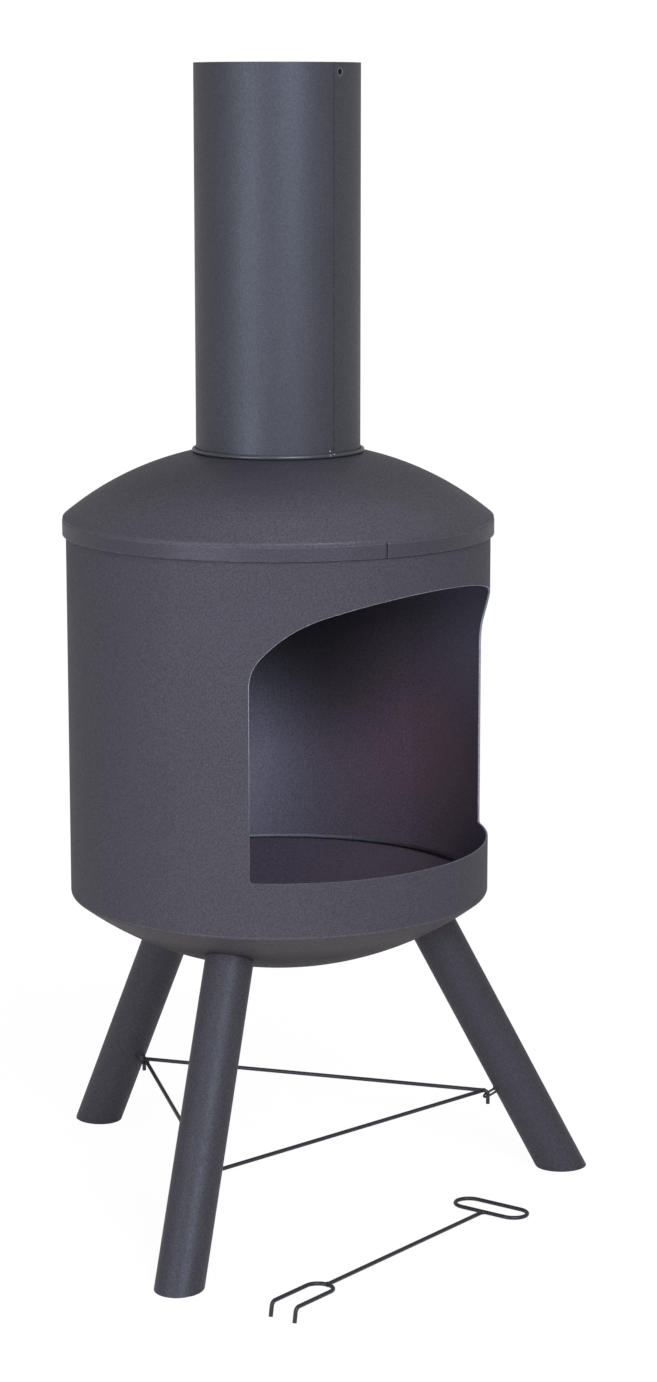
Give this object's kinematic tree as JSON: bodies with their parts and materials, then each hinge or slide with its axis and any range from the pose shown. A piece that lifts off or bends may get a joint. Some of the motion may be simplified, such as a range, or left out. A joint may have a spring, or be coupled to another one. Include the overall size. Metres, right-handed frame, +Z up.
{
  "type": "chiminea",
  "caption": "Steel garden chiminea: drum firebox with arched mouth on splayed tube legs, domed top with lift-off flue, wire leg brace and loose poker.",
  "frame": {"origin": "on the ground, straight below the drum's axis", "axes": "+Z up along the drum and flue axis; -Y is the front, where the mouth opens; +X to the right of someone facing the mouth"},
  "size_m": [0.5695, 0.5896, 1.134],
  "materials": {
    "drum_paint": "matt heat-resistant charcoal paint, fine grain",
    "dome_paint": "matt heat-resistant charcoal paint, fine grain",
    "bowl_paint": "matt heat-resistant charcoal paint, fine grain",
    "flue_paint": "matt heat-resistant charcoal paint, fine grain",
    "leg_paint": "matt heat-resistant charcoal paint, fine grain",
    "wire_paint": "satin black paint on round wire",
    "poker_paint": "satin black paint on round wire",
    "zinc_steel": "zinc-plated steel"
  },
  "bodies": {
    "stove": {"drum_wall": "drum_paint", "rim_band": "dome_paint", "inner_hoop": "wire_paint", "dome": "dome_paint", "flue_socket": "flue_paint", "bowl": "bowl_paint", "leg_tube_front_left": "leg_paint", "leg_tube_front_right": "leg_paint", "leg_tube_rear": "leg_paint", "leg_plate_front_left": "leg_paint", "leg_plate_front_right": "leg_paint", "leg_plate_rear": "leg_paint", "leg_washers": "zinc_steel", "leg_bolts": "zinc_steel", "leg_nuts": "zinc_steel", "brace_eyelet_front_left": "wire_paint", "brace_eyelet_front_right": "wire_paint", "brace_eyelet_rear": "wire_paint"},
    "flue": {"flue_tube": "flue_paint", "flue_ring": "wire_paint"},
    "brace": {"brace_rod_front_right": "wire_paint", "brace_rod_front_left": "wire_paint", "brace_rod_rear": "wire_paint"},
    "poker": {"poker_handle": "poker_paint", "poker_shaft": "poker_paint", "poker_fork": "poker_paint"}
  },
  "joints": [
    {"name": "flue_lift", "type": "slide", "parent": "stove", "child": "flue", "axis": [0, 0, 1], "range_m": [0, 0.06]},
    {"name": "brace_lift", "type": "slide", "parent": "stove", "child": "brace", "axis": [0, 0, 1], "range_m": [0, 0.008]},
    {"name": "poker_lift", "type": "slide", "parent": "stove", "child": "poker", "axis": [0, 0, 1], "range_m": [0, 0.2]}
  ]
}
